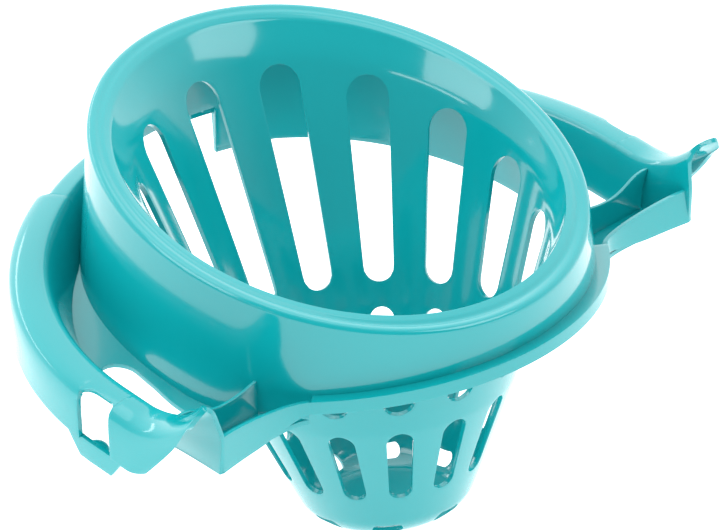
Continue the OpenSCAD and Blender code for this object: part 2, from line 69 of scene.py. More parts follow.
@dataclass(frozen=True)
class Form:
    """The driving sizes of the moulding, which the CAD source states too."""

    waist_r: float = 52.6
    waist_z: float = 57.0
    funnel_flare: float = 18.3
    basket_taper: float = 23.0
    floor_bend_r: float = 16.0
    wall: float = 1.8
    slot_count: int = 15
    slot_foot_w: float = 11.6
    slot_head_w: float = 16.4
    slot_band_h: float = 9.3
    slot_head_gap: float = 15.6
    basket_slot_w: float = 9.8
    basket_slot_h: float = 34.6
    floor_holes: int = 8
    floor_hole_share: float = 0.62
    floor_hole_w: float = 4.4
    floor_hole_l: float = 11.0
    rim_z: float = 137.4
    rim_tilt: float = 19.6
    rim_r: float = 91.8
    rim_y: float = 9.6
    rim_flare_h: float = 13.0
    rim_top_w: float = 8.8
    rim_edge_r: float = 2.2
    skirt_r: float = 97.6
    skirt_y: float = 16.8
    skirt_z: float = 91.3
    back_gap_half: float = 27.0
    collar_step: float = 5.4
    collar_h: float = 5.0
    ridge_half_x: float = 128.5
    ridge_end_y: float = 111.0
    oval_y: float = -3.0
    bed_tilt: float = 13.2
    ridge_z: float = 106.2
    apron_h: float = 20.0
    trough_h: float = 18.9
    wall_lean: float = 9.0
    tip_y: float = -49.5
    rib_y: float = -28.0
    horn_y: float = -18.0
    window_y: float = -2.5
    window_half: float = 7.5
    tab_back: float = 13.0
    tab_front: float = -15.0
    tab_h: float = 8.0
    nub_r: float = 5.0
    drain_front_y: float = -24.0
    drain_back_y: float = 34.0
    bridge_half: float = 21.0
    clip_x: float = 62.0
    leg_x: float = 31.0
    clip_drop: float = 6.5
    rear_inset: float = 3.5

    @property
    def flare(self) -> float:
        """Growth of the funnel's radius for each millimetre of height."""
        return float(np.tan(np.radians(self.funnel_flare)))

    @property
    def taper(self) -> float:
        """Growth of the basket's radius for each millimetre of height."""
        return float(np.tan(np.radians(self.basket_taper)))

    @property
    def split_z(self) -> float:
        """Height of the middle of the solid band between the two rows of slots."""
        return self.waist_z + self.slot_band_h / 2

    @property
    def bend_x(self) -> float:
        """Distance from the axis to the centre of the bend between basket wall and floor."""
        outer = self.waist_r + self.wall / np.cos(np.radians(self.basket_taper))
        return float(outer - self.taper * (self.waist_z - self.floor_bend_r)
                     - self.floor_bend_r / np.cos(np.radians(self.basket_taper)))

    @property
    def floor_low_z(self) -> float:
        """Height of the level floor under the wings."""
        return self.ridge_z - self.trough_h - 3.2

    def wall_radius(self, z: Array) -> Array:
        """Inner radius of the strainer: one cone above the waist and another below it."""
        above = z - self.waist_z
        return self.waist_r + np.where(above > 0, self.flare, self.taper) * above

    def rim_plane(self, y: Array) -> Array:
        """Height of the tilted rim plane at y."""
        return self.rim_z + np.tan(np.radians(self.rim_tilt)) * y

    def rim_out(self, a: Array) -> Array:
        """Outer radius of the rim in direction a: a circle off the axis."""
        return offset_circle(a, self.rim_r, self.rim_y)

    def rim_top(self, a: Array) -> Array:
        """Height of the rim plane at the rim's outer edge in direction a."""
        return self.rim_plane(self.rim_out(a) * np.sin(a))

    def funnel_at_rim(self, a: Array, depth: float) -> Array:
        """Radius at which the cone of the funnel meets a plane parallel to the rim."""
        slope = np.tan(np.radians(self.rim_tilt))
        level = self.waist_r + self.flare * (self.rim_z - depth - self.waist_z)
        return level / (1 - self.flare * slope * np.sin(a))

    def skirt_foot(self, a: Array) -> Array:
        """Outer radius of the skirt's foot in direction a."""
        return offset_circle(a, self.skirt_r, self.skirt_y)

    def skirt_out(self, a: Array, z: Array) -> Array:
        """Outer radius of the skirt: a straight line from its foot to the rim."""
        foot = self.skirt_foot(a)
        rise = (z - self.skirt_z) / (self.rim_top(a) - self.rim_edge_r - self.skirt_z)
        return foot + (self.rim_out(a) - foot) * rise

    def ridge_plane(self, y: Array) -> Array:
        """Height at y of the tilted plane in which the arched edge lies."""
        return self.ridge_z + np.tan(np.radians(self.bed_tilt)) * y

    def floor_top(self, y: Array) -> Array:
        """Top of the trough floor: parallel to the ridge, then level under the wing."""
        return np.maximum(self.floor_low_z, self.ridge_plane(y) - self.trough_h)

    def apron_foot(self, y: Array) -> Array:
        """Height of the lower edge of the outer wall at y."""
        return self.ridge_plane(y) - self.apron_h


def offset_circle(a: Array, r: float, c: float) -> Array:
    """Distance from the axis to a circle centred at y = c, in direction a."""
    return c * np.sin(a) + np.sqrt(r * r - (c * np.cos(a)) ** 2)


def polar(a: Array, r: Array, z: Array) -> Array:
    """Points at direction a, radius r and height z, with X, Y and Z on the last axis."""
    a, r, z = np.broadcast_arrays(a, r, z)
    return np.stack([r * np.cos(a), r * np.sin(a), z], axis=-1)


def smooth_step(f: Array) -> Array:
    """An even ramp from 0 to 1 that starts and ends level: 3 f squared less 2 f cubed."""
    f = np.clip(f, 0.0, 1.0)
    return f * f * (3 - 2 * f)


def through(points: Array, places: Array) -> Array:
    """A smooth curve through control rows, read at fractional rows for each column.

    Each stretch is a cubic whose end slopes are half the step between the neighbours of its ends.

    Args:
        points: Control points, as rows, columns and coordinates.
        places: Fractional rows to read, as many as wanted for each column.

    Returns:
        The curve's points, as places, columns and coordinates.
    """
    last = len(points) - 1
    column = np.arange(points.shape[1])[None, :]
    i = np.clip(np.floor(places).astype(int), 0, last - 1)
    f = (places - i)[..., None]
    p0, p1 = points[np.maximum(i - 1, 0), column], points[i, column]
    p2, p3 = points[i + 1, column], points[np.minimum(i + 2, last), column]
    m1, m2 = (p2 - p0) / 2, (p3 - p1) / 2
    return ((2 * f**3 - 3 * f**2 + 1) * p1 + (f**3 - 2 * f**2 + f) * m1
            + (3 * f**2 - 2 * f**3) * p2 + (f**3 - f**2) * m2)


def shares(steps: int) -> Array:
    """Even shares of the way from 0 to 1, one a row."""
    return np.linspace(0.0, 1.0, steps + 1)[:, None]


def stretches(stops: list[float], steps: list[int]) -> Array:
    """Places from stop to stop, evenly spaced within each stretch."""
    parts = [np.linspace(a, b, count + 1)[1:] for a, b, count in zip(stops, stops[1:], steps)]
    return np.concatenate([[stops[0]], *parts])


def cubic(knots: list[Array], f: Array) -> Array:
    """The cubic curve that four knots steer, at shares f of the way."""
    weights = ((1 - f) ** 3, 3 * f * (1 - f) ** 2, 3 * f * f * (1 - f), f**3)
    return sum(weight * knot for weight, knot in zip(weights, knots))


def arc(centre: tuple[float, float], r: float, start: float, end: float, count: int) -> Array:
    """Points of a circle between two directions in degrees, one a row."""
    q = np.radians(np.linspace(start, end, count))
    return np.stack([centre[0] + r * np.cos(q), centre[1] + r * np.sin(q)], axis=-1)


def even_walk(points: Array, count: int) -> Array:
    """Points at equal distances along a chain."""
    steps = np.linalg.norm(np.diff(points, axis=0), axis=1)
    run = np.concatenate([[0.0], np.cumsum(steps)])
    at = np.linspace(0.0, run[-1], count)
    return np.stack([np.interp(at, run, points[:, k]) for k in range(points.shape[1])], axis=-1)


def walk_round(sides: list[Array], cols: int, rows: int) -> Array:
    """Points at equal distances along each of four sides, with each corner once."""
    counts = (cols, rows, cols, rows)
    return np.concatenate([even_walk(side, count + 1)[:-1] for side, count in zip(sides, counts)])


@dataclass
class Patch:
    """A grid of points with four-cornered faces between them."""

    points: Array
    keep: Array | None = None
    wrap: bool = False

    def faces(self, base: int) -> Array:
        """Corner numbers of the kept faces.

        Args:
            base: Number of the patch's first point in the whole mesh.

        Returns:
            One row of four corners for each face.
        """
        rows, cols = self.points.shape[:2]
        ids = base + np.arange(rows * cols).reshape(rows, cols)
        if self.wrap:
            ids = np.concatenate([ids, ids[:, :1]], axis=1)
        quads = np.stack([ids[:-1, :-1], ids[:-1, 1:], ids[1:, 1:], ids[1:, :-1]], axis=-1)
        return quads[self.keep] if self.keep is not None else quads.reshape(-1, 4)


@dataclass(frozen=True)
class Finishing:
    """How a sheet becomes a moulded wall: its thickness and its rounded edges."""

    wall: float = 1.8
    edge_r: float = 0.5
    edge_steps: int = 3
    edge_angle: float = 40.0
    weld: float = 0.02


def build_piece(name: str, patches: list[Patch], finishing: Finishing,
                side: Side = Side.LEFT) -> bpy.types.Object:
    """Joins patches into one sheet, gives it a wall and rounds the edges.

    Args:
        name: Name of the piece.
        patches: The grids, in millimetres, facing outwards on the left side.
        finishing: Wall thickness and edge rounding.
        side: The right side mirrors the sheet and turns its faces round.

    Returns:
        The new object.
    """
    points, quads, base = [], [], 0
    for patch in patches:
        flat = patch.points.reshape(-1, 3)
        points.append(flat)
        quads.append(patch.faces(base))
        base += len(flat)
    co = np.concatenate(points) * METRES_PER_MM
    corners = np.concatenate(quads)
    if side is Side.RIGHT:
        co = co * np.array([-1.0, 1.0, 1.0])
        corners = corners[:, ::-1]
    mesh = bpy.data.meshes.new(name)
    mesh.vertices.add(len(co))
    mesh.vertices.foreach_set("co", co.ravel())
    mesh.loops.add(corners.size)
    mesh.loops.foreach_set("vertex_index", corners.ravel().astype(np.int32))
    mesh.polygons.add(len(corners))
    mesh.polygons.foreach_set("loop_start", np.arange(0, corners.size, 4, dtype=np.int32))
    mesh.update(calc_edges=True)
    sheet = bmesh.new()
    sheet.from_mesh(mesh)
    bmesh.ops.remove_doubles(sheet, verts=sheet.verts, dist=finishing.weld * METRES_PER_MM)
    loose = [v for v in sheet.verts if not v.link_faces]
    bmesh.ops.delete(sheet, geom=loose, context="VERTS")
    sheet.to_mesh(mesh)
    sheet.free()
    mesh.polygons.foreach_set("use_smooth", np.ones(len(mesh.polygons), dtype=bool))
    mesh.update()
    piece = bpy.data.objects.new(name, mesh)
    bpy.context.scene.collection.objects.link(piece)
    wall = piece.modifiers.new("wall", "SOLIDIFY")
    wall.thickness = finishing.wall * METRES_PER_MM
    wall.offset = -1.0
    wall.use_even_offset = True
    edge = piece.modifiers.new("edges", "BEVEL")
    edge.width = finishing.edge_r * METRES_PER_MM
    edge.segments = finishing.edge_steps
    edge.limit_method = "ANGLE"
    edge.angle_limit = np.radians(finishing.edge_angle)
    edge.use_clamp_overlap = True
    return piece


def hand_over(piece: bpy.types.Object, finish: "GlossyPlastic", nodes: list[str]) -> None:
    """Dresses a piece, hangs it on the body and hides the CAD nodes that it stands for.

    Args:
        piece: The finished piece.
        finish: Its material.
        nodes: Names of the CAD nodes that it replaces.
    """
    finish.dress(piece)
    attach(piece, BODY)
    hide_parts(*nodes)
    LOG.info("%s: %d faces before its wall, stands for %s", piece.name, len(piece.data.polygons),
             ", ".join(nodes))


@dataclass
class Strainer:
    """The funnel, its slots, the drain basket, the rolled rim and the outer skirt, as one sheet.

    The sheet is the face that one sees from above: the inner face of the strainer, the top of the rim
    and the outer face of the skirt. The wall grows to the hidden side of it.
    """

    form: Form
    cell_cols: int = 16
    side_rows: int = 30
    rings: int = 6
    bend_rows: int = 9
    flare_rows: int = 12
    edge_rows: int = 8
    skirt_rows: int = 14
    corner_angle: float = 42.0
    foot_taper: float = 0.86
    ring_spread: float = 0.8
    floor_rings: int = 6
    flare_pull: float = 0.4
    groove: float = 0.45
    finishing: Finishing = field(default_factory=Finishing)

    def slot_outline(self, low_z: float, high_z: float, low_r: float, high_r: float) -> Array:
        """Outline of a slot, flattened: two round ends and their common tangents.

        Args:
            low_z: Height of the centre of the lower end.
            high_z: Height of the centre of the upper end.
            low_r: Radius of the lower end.
            high_r: Radius of the upper end.

        Returns:
            Points across and up, from the upper right corner round over the head, as many as the
            border of the cell has.
        """
        lean = float(np.degrees(np.arcsin((high_r - low_r) / (high_z - low_z))))
        corner, low, high = self.corner_angle, (0.0, low_z), (0.0, high_z)
        head = arc(high, high_r, corner, 180 - corner, 24)
        left = np.concatenate([arc(high, high_r, 180 - corner, 180 + lean, 24),
                               arc(low, low_r, 180 + lean, 180 + corner, 24)])
        foot = arc(low, low_r, 180 + corner, 360 - corner, 24)
        right = left[::-1] * np.array([-1.0, 1.0])
        return walk_round([head, left, foot, right], self.cell_cols, self.side_rows)

    def cell_border(self, half: float, low: float, high: float, cols: int, rows: int) -> Array:
        """Border of a cell in direction and height, walked as a slot's outline is."""
        corners = np.array([(half, high), (-half, high), (-half, low), (half, low), (half, high)])
        return walk_round([corners[k:k + 2] for k in range(4)], cols, rows)

    def ringed(self, outline: Array, border: Array) -> Array:
        """Rings of points that blend from a hole's outline to the border of its cell."""
        f = shares(self.rings)[..., None] ** self.ring_spread
        return border[None] + (outline - border)[None] * f

    def upper_cell(self, number: int) -> Patch:
        """One slot of the funnel with the wall round it.

        The second coordinate runs from 0 at the middle of the band to 1 at the foot of the rim, so the
        cell follows the tilt of the rim while its slot keeps its distance from it.

        Args:
            number: Which slot, counted from the back.

        Returns:
            The cell on the funnel's cone.
        """
        form = self.form
        middle = np.pi / 2 + number * 2 * np.pi / form.slot_count
        half = np.pi / form.slot_count
        head_r, foot_r = form.slot_head_w / 2, form.slot_foot_w / 2
        head = form.rim_plane(form.funnel_at_rim(middle, 0.0) * np.sin(middle)) - form.slot_head_gap
        low = form.waist_z + form.slot_band_h + foot_r
        flat = self.slot_outline(low, float(head) - head_r, foot_r, head_r)
        turn = np.arcsin(flat[:, 0] / form.wall_radius(flat[:, 1]))
        top = self.funnel_top(middle + turn)
        outline = np.stack([turn, (flat[:, 1] - form.split_z) / (top - form.split_z)], axis=-1)
        grid = self.ringed(outline, self.cell_border(half, 0.0, 1.0, self.cell_cols, self.side_rows))
        a = middle + grid[..., 0]
        z = form.split_z + grid[..., 1] * (self.funnel_top(a) - form.split_z)
        return Patch(polar(a, form.wall_radius(z), z), wrap=True)

    def funnel_top(self, a: Array) -> Array:
        """Height in direction a at which the funnel begins to bend out into the rim."""
        form = self.form
        return form.rim_plane(form.funnel_at_rim(a, form.rim_flare_h) * np.sin(a)) - form.rim_flare_h

    def basket_cell(self, number: int) -> Patch:
        """One slot of the basket with the wall round it, from the bend to the middle of the band.

        Args:
            number: Which slot, counted from the back.

        Returns:
            The cell on the basket's cone.
        """
        form = self.form
        middle = np.pi / 2 + number * 2 * np.pi / form.slot_count
        r = form.basket_slot_w / 2
        low = form.waist_z - form.basket_slot_h + r
        flat = self.slot_outline(low, form.waist_z - r, r * self.foot_taper, r)
        outline = np.stack([np.arcsin(flat[:, 0] / form.wall_radius(flat[:, 1])), flat[:, 1]], axis=-1)
        border = self.cell_border(np.pi / form.slot_count, self.bend_top_z(), form.split_z, self.cell_cols,
                                  self.side_rows)
        grid = self.ringed(outline, border)
        return Patch(polar(middle + grid[..., 0], form.wall_radius(grid[..., 1]), grid[..., 1]), wrap=True)

    def bend_top_z(self) -> float:
        """Height at which the inner face of the basket wall turns into the bend of the floor."""
        form = self.form
        inner = form.floor_bend_r - form.wall
        return form.floor_bend_r - inner * float(np.sin(np.radians(form.basket_taper)))

    def floor_cell(self, number: int) -> Patch:
        """One oblong hole in the bend of the floor with the wall round it.

        The second coordinate is the angle along the bend, 0 at the flat disc.

        Args:
            number: Which hole, counted from the back.

        Returns:
            The cell on the bend.
        """
        form = self.form
        inner = form.floor_bend_r - form.wall
        half = np.pi / form.floor_holes
        middle = np.pi / 2 + 2 * number * half
        cols = self.cell_cols * form.slot_count // form.floor_holes
        hole_r = form.bend_x + form.floor_bend_r * form.floor_hole_share
        radius, reach = form.floor_hole_w / 2, (form.floor_hole_l - form.floor_hole_w) / 2
        near, far = (reach, hole_r), (-reach, hole_r)
        top = np.concatenate([arc(near, radius, 50, 90, 16), arc(far, radius, 90, 130, 16)])
        left = arc(far, radius, 130, 230, 16)
        foot = np.concatenate([arc(far, radius, 230, 270, 16), arc(near, radius, 270, 310, 16)])
        right = arc(near, radius, 310, 410, 16)
        flat = walk_round([top, left, foot, right], cols, self.bend_rows)
        spread = np.hypot(flat[:, 0], flat[:, 1])
        outline = np.stack([np.arctan2(flat[:, 0], flat[:, 1]),
                            np.arcsin(np.clip((spread - form.bend_x) / inner, 0.0, 0.999))], axis=-1)
        end = np.pi / 2 - np.radians(form.basket_taper)
        grid = self.ringed(outline, self.cell_border(half, 0.0, float(end), cols, self.bend_rows))
        r = form.bend_x + inner * np.sin(grid[..., 1])
        z = form.floor_bend_r - inner * np.cos(grid[..., 1])
        return Patch(polar(middle + grid[..., 0], r, z), wrap=True)

    def round_angles(self) -> Array:
        """Directions of the columns all round, the same as those of the cells' borders."""
        count = self.cell_cols * self.form.slot_count
        return np.pi / 2 + np.pi / self.form.slot_count + np.arange(count) * 2 * np.pi / count

    def floor_disc(self) -> Patch:
        """The flat floor, as rings that shrink to the axis."""
        a = self.round_angles()[None, :]
        r = self.form.bend_x * (1 - shares(self.floor_rings))
        return Patch(polar(a, r, np.full_like(r, self.form.wall)), wrap=True)

    def rim_and_skirt(self) -> list[Patch]:
        """The bend from the funnel into the rim, the rolled edge and the skirt.

        In each direction the bend is a cubic that leaves along the funnel and arrives level, the edge is
        a quarter of a circle, and the skirt is a straight line down to its lower edge.

        Returns:
            One patch for the rim and two for the skirt, the lower one open in the gap at the back. Their
            rows run up, so that all faces look the same way.
        """
        form = self.form
        a = self.round_angles()
        foot_r, foot_z = form.funnel_at_rim(a, form.rim_flare_h), self.funnel_top(a)
        crest_r, crest_z = form.rim_out(a) - form.rim_edge_r, form.rim_top(a)
        lean = np.radians(form.funnel_flare)
        pull = form.rim_flare_h * self.flare_pull
        q = shares(self.flare_rows)
        inner_r = form.rim_out(a) - form.rim_top_w
        inner_z = form.rim_plane(inner_r * np.sin(a)) - 0.5
        rs = [foot_r, foot_r + pull * np.sin(lean), inner_r - 2.4, inner_r]
        zs = [foot_z, foot_z + pull * np.cos(lean), inner_z - 4.4, inner_z]
        top = shares(12)[1:]
        groove = self.groove * np.sin(np.pi * np.clip((top - 0.3) / 0.6, 0.0, 1.0)) ** 2
        r = np.concatenate([cubic(rs, q), inner_r + (crest_r - inner_r) * top])
        z = np.concatenate([cubic(zs, q), inner_z + (crest_z - inner_z) * np.sin(top * np.pi / 2) - groove])
        e = shares(self.edge_rows)[1:] * np.pi / 2
        r = np.concatenate([r, crest_r + form.rim_edge_r * np.sin(e)])
        z = np.concatenate([z, crest_z - form.rim_edge_r + form.rim_edge_r * np.cos(e)])
        rim = polar(a[None, :], r, z)

        turn = (a + np.pi) % (2 * np.pi) - np.pi
        gap = np.arccos(form.back_gap_half / form.skirt_foot(np.pi / 2))
        edges = np.array([gap, np.pi - gap])
        start = form.rim_top(a) - form.rim_edge_r
        y_foot = form.skirt_foot(a) * np.sin(a)
        end = np.where(y_foot < form.tip_y + 4.0, form.skirt_z - 0.4, form.floor_top(y_foot) - form.wall)
        middle = np.where(y_foot > 0, np.minimum(form.ridge_plane(108.0) - form.wall, start - 12.0),
                          (start + end) / 2)
        weight = smooth_step((y_foot - 60.0) / 30.0)
        middle = (start + end) / 2 * (1 - weight) + middle * weight
        nearest = np.abs(turn[:, None] - edges[None, :]).argmin(axis=0)
        shift = np.zeros_like(a)
        shift[nearest] = edges - turn[nearest]
        f = shares(self.skirt_rows)
        z_up = start + (middle - start) * f
        upper = polar(a + shift * f, form.skirt_out(a + shift * f, z_up), z_up)
        z_low = middle + (end - middle) * f
        lower = polar(np.broadcast_to(a + shift, z_low.shape), form.skirt_out(a + shift, z_low), z_low)
        column = a + shift
        following = np.append(column[1:], column[0] + 2 * np.pi)
        wide = (column + following) / 2 % (2 * np.pi)
        shut = ~((wide > gap) & (wide < np.pi - gap))
        keep = np.broadcast_to(shut, (self.skirt_rows, len(a)))
        return [Patch(rim[::-1], wrap=True), Patch(upper[::-1], wrap=True),
                Patch(lower[::-1], keep=keep, wrap=True)]

    def build(self, finish: "GlossyPlastic") -> None:
        """Builds the strainer and hands it over.

        Args:
            finish: Material of the moulding.
        """
        cells = [self.upper_cell(i) for i in range(self.form.slot_count)]
        cells += [self.basket_cell(i) for i in range(self.form.slot_count)]
        cells += [self.floor_cell(i) for i in range(self.form.floor_holes)]
        inward = [Patch(cell.points[:, ::-1], wrap=True) for cell in cells]
        piece = build_piece("strainer", inward + [self.floor_disc()] + self.rim_and_skirt(), self.finishing)
        hand_over(piece, finish, ["funnel_wall", "drain_basket", "basket_floor", "rim_bead", "outer_skirt"])


@dataclass
class RidgePath:
    """Stations along the ridge of the left wing: points in plan and the outward normals."""

    form: Form

    def at_y(self, y: Array) -> tuple[Array, Array]:
        """Stations at given y, on the straight stretch in front and on the oval behind."""
        t = np.arcsin(np.clip((y - self.form.oval_y) / self.form.ridge_end_y, 0.0, 1.0))
        p, n = self.at_angle(t)
        p = np.stack([p[:, 0], np.where(y < self.form.oval_y, y, p[:, 1])], axis=-1)
        return p, n

    def at_angle(self, t: Array) -> tuple[Array, Array]:
        """Stations on the oval at parameter t, from 0 at the side to a quarter turn at the back."""
        form = self.form
        p = np.stack([-form.ridge_half_x * np.cos(t), form.oval_y + form.ridge_end_y * np.sin(t)], axis=-1)
        n = np.stack([-np.cos(t) / form.ridge_half_x, np.sin(t) / form.ridge_end_y], axis=-1)
        return p, n / np.linalg.norm(n, axis=1, keepdims=True)

    def angle_at_x(self, x: float) -> float:
        """Parameter at which the oval stands a distance x from the symmetry plane."""
        return float(np.arccos(x / self.form.ridge_half_x))

    def angle_at_y(self, y: float) -> float:
        """Parameter at which the oval reaches y."""
        return float(np.arcsin((y - self.form.oval_y) / self.form.ridge_end_y))


@dataclass
class EdgeSection:
    """The section of the arched edge: inner wall, rounded crown and outer wall.

    A control row is a distance outwards from the ridge and a height above the ridge plane. The first
    rows are shares of the inner wall's lean and drop.
    """

    form: Form
    rows_between: int = 4
    least_lean: float = 0.6

    def lean_at(self, p: Array, n: Array) -> Array:
        """Inward lean of the inner wall: the full one, or less where the skirt stands in its way.

        Args:
            p: Ridge points.
            n: Outward normals.

        Returns:
            The lean at each station.
        """
        form = self.form
        lean = np.full(len(p), form.wall_lean)
        for _ in range(ROUNDS):
            toe = p - lean[:, None] * n
            a = np.arctan2(toe[:, 1], toe[:, 0])
            depth = (form.ridge_plane(p[:, 1]) - form.floor_top(p[:, 1])) * lean / form.wall_lean
            gap = np.hypot(toe[:, 0], toe[:, 1]) - form.skirt_out(a, form.ridge_plane(p[:, 1]) - depth)
            lean = np.clip(lean + gap, self.least_lean, form.wall_lean)
        return lean

    def controls(self, p: Array, n: Array, inset: Array) -> Array:
        """Control rows at each station.

        Args:
            p: Ridge points.
            n: Outward normals.
            inset: Inward set of the outer wall at each station.

        Returns:
            Distance outwards and height above the ridge plane, as rows, stations and those two.
        """
        form = self.form
        lean = self.lean_at(p, n)
        drop = (form.ridge_plane(p[:, 1]) - form.floor_top(p[:, 1])) * lean / form.wall_lean
        one = np.ones_like(lean)
        rows = [(-lean, -drop - form.wall), (-lean, -drop), (-lean * 0.73, -drop * 0.62),
                (-lean * 0.5, -drop * 0.34), (-lean * 0.28, -drop * 0.13), (-lean * 0.1, -drop * 0.03),
                (one, 0 * one), (5 * one, 0 * one), (9 - inset * 0.6, -0.5 * one), (12 - inset, -2 * one),
                (13.2 - inset, -4.6 * one), (13.8 - inset, -form.apron_h * 0.45 * one),
                (14.1 - inset, -form.apron_h * 0.72 * one), (14.4 - inset, -form.apron_h * one)]
        return np.array([np.stack(row, axis=-1) for row in rows])

    def place(self, p: Array, n: Array, rows: Array) -> Array:
        """Section rows in space: outwards along each normal, and up from the ridge plane."""
        xy = p + rows[..., :1] * n
        z = self.form.ridge_plane(p[:, 1]) + rows[..., 1]
        return np.concatenate([xy, z[..., None]], axis=-1)

    def swept(self, p: Array, n: Array, inset: Array, first: float, last: Array) -> Array:
        """The section carried along the stations, from one fractional control row to another."""
        controls = self.controls(p, n, inset)
        steps = int(round((float(np.max(last)) - first) * self.rows_between))
        return self.place(p, n, through(controls, first + (last[None, :] - first) * shares(steps)))


@dataclass
class SideEdge:
    """The arched edge of one wing: channel, window, snap tab and horn, as one sheet."""

    form: Form
    side: Side
    path: RidgePath
    section: EdgeSection
    horn_cols: int = 26
    rear_cols: int = 44
    window_cols: int = 22
    tab_rows: int = 4
    crown_bite: float = 2.1
    crown_row: float = 10.0
    foot_row: float = 13.0
    tab_narrowing: float = 13.0
    tab_out: float = 13.6
    tab_overlap: float = 0.4
    nub_y: float = 0.5
    nub_reach: float = 5.6
    finishing: Finishing = field(default_factory=Finishing)

    def horn_outline(self) -> Array:
        """Tip of the horn: a point on each control row of the section, from the toe over the ear."""
        rows = [(124.3, -49.3, 82.3), (124.2, -49.4, 84.1), (123.9, -50.3, 90.0), (123.8, -51.0, 96.4),
                (124.7, -50.2, 102.6), (126.0, -49.4, 107.9), (129.2, -48.6, 111.0), (132.6, -50.6, 113.2),
                (135.7, -54.6, 115.0), (139.2, -53.4, 111.9), (141.1, -51.1, 107.8), (140.5, -43.5, 98.2),
                (140.8, -36.5, 91.2), (141.0, -26.5, 82.3)]
        return np.array(rows) * np.array([-1.0, 1.0, 1.0])

    def horn(self) -> Patch:
        """The horn: the section drawn forwards and bent more and more towards its tip.

        A row runs straight on, parallel to the ridge, and the rest of its way to the tip comes in with
        a power of the distance: 1.2 at the toe, growing to 1.9 at the crown.

        Returns:
            Columns from the tip to the start of the channel.
        """
        form = self.form
        p, n = self.path.at_y(np.array([form.horn_y]))
        base = self.section.place(p, n, self.section.controls(p, n, np.zeros(1)))
        tip = self.horn_outline()[:, None, :]
        s = np.linspace(1.0, 0.0, self.horn_cols + 1)[None, :, None]
        share = np.clip((np.arange(len(tip)) - 1) / 5, 0.0, 1.0)[:, None, None]
        run = tip[..., 1:2] - form.horn_y
        rise = np.tan(np.radians(form.bed_tilt)) * share * run
        step = np.concatenate([np.zeros_like(run), run, rise], axis=-1)
        points = base + step * s + (tip - base - step) * s ** (1.2 + 0.7 * share)
        count = (len(tip) - 1) * self.section.rows_between
        places = np.broadcast_to(np.linspace(0.0, len(tip) - 1, count + 1)[:, None], (count + 1, s.shape[1]))
        return Patch(through(points, places))

    def window_rows(self, y: Array) -> Array:
        """Last row of the crown beside the window: a bite with a rounder rear corner."""
        v = np.clip((y - self.form.window_y) / self.form.window_half, -1.0, 1.0)
        power = np.where(v > 0, 2.8, 6.0)
        return self.crown_row - self.crown_bite * (1 - np.abs(v) ** power) ** (1 / power)

    def carried(self, p: Array, n: Array) -> Patch:
        """The whole section along some stations."""
        rows = np.full(len(p), self.foot_row)
        return Patch(self.section.swept(p, n, np.zeros(len(p)), 0.0, rows))

    def window_places(self) -> Array:
        """Places of the columns inside the window, closer together near its ends."""
        turn = np.linspace(-np.pi / 2, np.pi / 2, self.window_cols + 1)
        return self.form.window_y + self.form.window_half * np.sin(turn)

    def tab(self, y: Array) -> Patch:
        """The snap tab: the outer wall carried on below its foot, narrower downwards.

        Args:
            y: Places of its columns at the foot of the wall.

        Returns:
            Rows from the foot of the wall to the tip of the tab.
        """
        form = self.form
        f = shares(self.tab_rows)
        narrow = 1 - self.tab_narrowing / (form.tab_back - form.tab_front)
        middle = (form.tab_back + form.tab_front) / 2
        at = y[None, :] + f * (middle + (y[None, :] - middle) * narrow - y[None, :])
        p, n = self.path.at_y(at.ravel())
        drop = form.apron_h - self.tab_overlap + (form.tab_h + self.tab_overlap) * np.repeat(f[:, 0], len(y))
        rows = np.stack([np.full(at.size, self.tab_out), -drop], axis=-1)
        return Patch(self.section.place(p, n, rows).reshape(*at.shape, 3))

    def nub(self) -> Patch:
        """The dome on the inner face of the snap tab."""
        form = self.form
        q = np.linspace(0.0, 2 * np.pi, 24, endpoint=False)[None, :]
        e = np.radians(np.linspace(0.0, 88.0, 9))[:, None]
        x = form.wall - form.ridge_half_x - 14.0 + self.nub_reach * np.sin(e)
        y = self.nub_y + form.nub_r * np.cos(e) * np.cos(q)
        z = form.apron_foot(self.nub_y) - 3.4 + form.nub_r * 0.8 * np.cos(e) * np.sin(q)
        return Patch(np.stack(np.broadcast_arrays(x, y, z), axis=-1), wrap=True)

    def build(self, finish: "GlossyPlastic") -> None:
        """Builds the edge of this wing and hands it over.

        Args:
            finish: Material of the moulding.
        """
        form, path = self.form, self.path
        back_y, front_y = form.window_y + form.window_half, form.window_y - form.window_half
        front = stretches([form.horn_y, form.tab_front, front_y], [2, 4])
        inside = self.window_places()
        behind = np.linspace(back_y, form.tab_back, 6)
        t = np.linspace(path.angle_at_y(form.tab_back), path.angle_at_x(form.clip_x), self.rear_cols + 1)
        p, n = path.at_y(inside)
        window = Patch(self.section.swept(p, n, np.zeros(len(p)), 0.0, self.window_rows(inside)))
        tab_places = np.concatenate([front[2:], inside[1:-1], behind])
        patches = [self.horn(), self.carried(*path.at_y(front)), window, self.carried(*path.at_y(behind)),
                   self.carried(*path.at_angle(t)), self.tab(tab_places), self.nub()]
        word = self.side.word
        piece = build_piece(f"{word}_edge", patches, self.finishing, self.side)
        hand_over(piece, finish, [f"{word}_rear_channel", f"{word}_window_bridge", f"{word}_front_channel",
                                  f"{word}_horn", f"{word}_snap_tab"])


